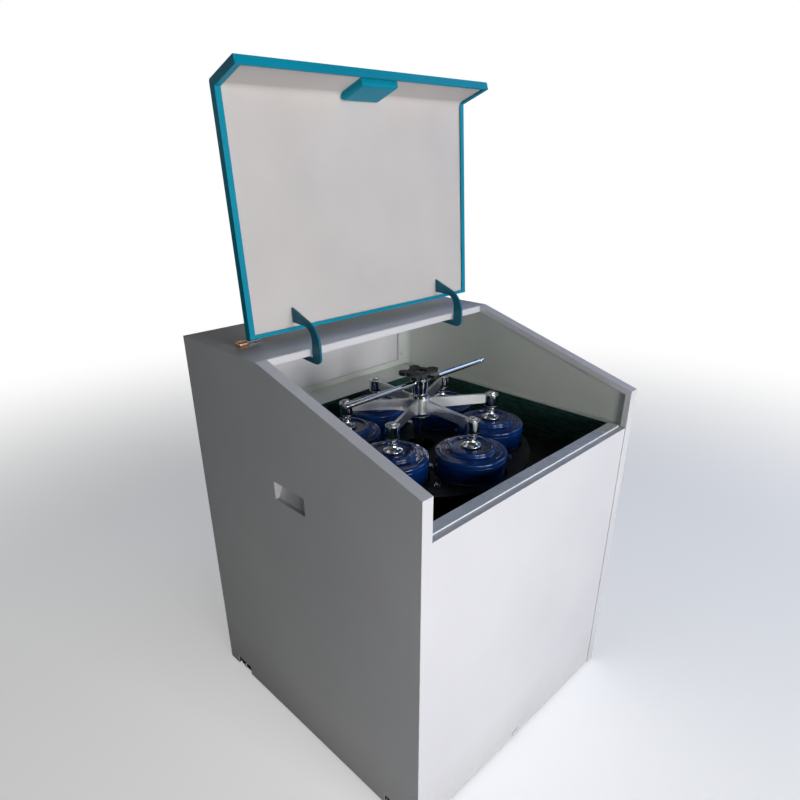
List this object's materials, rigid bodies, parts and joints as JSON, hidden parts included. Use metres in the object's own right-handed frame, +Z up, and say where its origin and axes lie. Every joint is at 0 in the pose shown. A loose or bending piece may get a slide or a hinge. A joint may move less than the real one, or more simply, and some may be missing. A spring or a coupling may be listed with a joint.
{
  "type": "sample pulverizer",
  "caption": "Floor cabinet with an open hinged lid over a well where grinding bowls stand on a shaken table under a star clamp with a cross bar.",
  "frame": {"origin": "middle of the cabinet's footprint, on the floor", "axes": "+Z up, -Y towards the front panel, +X to the right seen from the front"},
  "size_m": [0.7, 0.71, 1.4078],
  "materials": {
    "cabinet_paint": "semi-gloss pale grey powder coat",
    "liner_paint": "semi-gloss cool grey powder coat",
    "well_paint": "gloss dark green-black enamel",
    "lid_paint": "semi-gloss teal powder coat",
    "lid_lining": "matt pale sound-damping sheet",
    "arm_paint": "semi-gloss dark teal",
    "bright_steel": "bright turned",
    "frame_paint": "satin dark grey",
    "rubber": "matt black",
    "table_paint": "semi-gloss black",
    "bowl_paint": "gloss navy enamel",
    "bowl_lid_paint": "gloss blue enamel",
    "polished_steel": "polished",
    "knob_plastic": "gloss black",
    "motor_paint": "satin grey-blue",
    "weight_iron": "machined, lightly oiled",
    "grinding_steel": "ground hardened steel"
  },
  "bodies": {
    "cabinet": {"side_panel_left": "cabinet_paint", "side_panel_right": "cabinet_paint", "front_panel": "cabinet_paint", "rear_panel": "cabinet_paint", "top_panel": "cabinet_paint", "well_liner_left": "liner_paint", "well_liner_right": "liner_paint", "front_rail": "liner_paint", "well_tub": "well_paint", "rear_ledge": "liner_paint", "hand_cup_left": "cabinet_paint", "hand_cup_right": "cabinet_paint", "hinge_bracket_left": "frame_paint", "hinge_bracket_right": "frame_paint", "hinge_pins": "bright_steel", "floor_plate": "frame_paint", "base_rail_left": "frame_paint", "base_rail_right": "frame_paint", "spring_posts": "frame_paint", "machine_feet": "rubber", "foot_bolts": "bright_steel", "front_catch": "cabinet_paint", "cable_grommet": "rubber"},
    "lid": {"lid_shell": "lid_paint", "lid_lining": "lid_lining", "lid_grip": "lid_paint", "hinge_arm_left": "arm_paint", "hinge_arm_right": "arm_paint"},
    "isolators": {"rubber_isolators": "rubber"},
    "table": {"table_plate": "table_paint", "bowl_nest": "table_paint", "nest_bolts": "bright_steel", "clamp_screw": "polished_steel", "motor_housing": "motor_paint", "terminal_box": "motor_paint", "motor_bolts": "bright_steel", "bowl_1": "bowl_paint", "bowl_2": "bowl_paint", "bowl_3": "bowl_paint", "bowl_4": "bowl_paint", "bowl_5": "bowl_paint", "bowl_6": "bowl_paint", "bowl_lid_1": "bowl_lid_paint", "bowl_lid_2": "bowl_lid_paint", "bowl_lid_3": "bowl_lid_paint", "bowl_lid_4": "bowl_lid_paint", "bowl_lid_5": "bowl_lid_paint", "bowl_lid_6": "bowl_lid_paint"},
    "rings": {"grinding_rings": "grinding_steel"},
    "pucks": {"grinding_pucks": "grinding_steel"},
    "star": {"clamp_star": "polished_steel", "press_feet": "polished_steel"},
    "nut": {"clamp_nut": "polished_steel", "tee_bar": "polished_steel", "lobe_knob": "knob_plastic"},
    "rotor": {"rotor_shaft": "bright_steel", "eccentric_weight": "weight_iron", "shaft_nut": "bright_steel"}
  },
  "joints": [
    {"name": "lid_hinge", "type": "hinge", "parent": "cabinet", "child": "lid", "pos_m": [0, 0.1136, 0.9], "axis": [1, 0, 0], "range_deg": [0, 110]},
    {"name": "sway_sideways", "type": "slide", "parent": "cabinet", "child": "isolators", "axis": [1, 0, 0], "range_m": [-0.004, 0.004], "stiffness_N_per_m": 20000},
    {"name": "sway_lengthways", "type": "slide", "parent": "isolators", "child": "table", "axis": [0, 1, 0], "range_m": [-0.004, 0.004], "stiffness_N_per_m": 20000},
    {"name": "motor_spin", "type": "hinge", "parent": "table", "child": "rotor", "pos_m": [0, -0.022, 0.4], "axis": [0, 0, 1], "continuous": true},
    {"name": "ring_slide", "type": "slide", "parent": "table", "child": "rings", "axis": [1, 0, 0], "range_m": [-0.0115, 0.0115]},
    {"name": "puck_slide", "type": "slide", "parent": "rings", "child": "pucks", "axis": [1, 0, 0], "range_m": [-0.0095, 0.0095]},
    {"name": "clamp_lift", "type": "slide", "parent": "table", "child": "star", "axis": [0, 0, 1], "range_m": [0, 0.008]},
    {"name": "clamp_turn", "type": "hinge", "parent": "star", "child": "nut", "pos_m": [0, -0.022, 0.8], "axis": [0, 0, 1], "range_deg": [0, 720]}
  ],
  "couplings": [
    {"joint": "clamp_lift", "follows": "clamp_turn", "m_per_rad": 0.00063661}
  ]
}
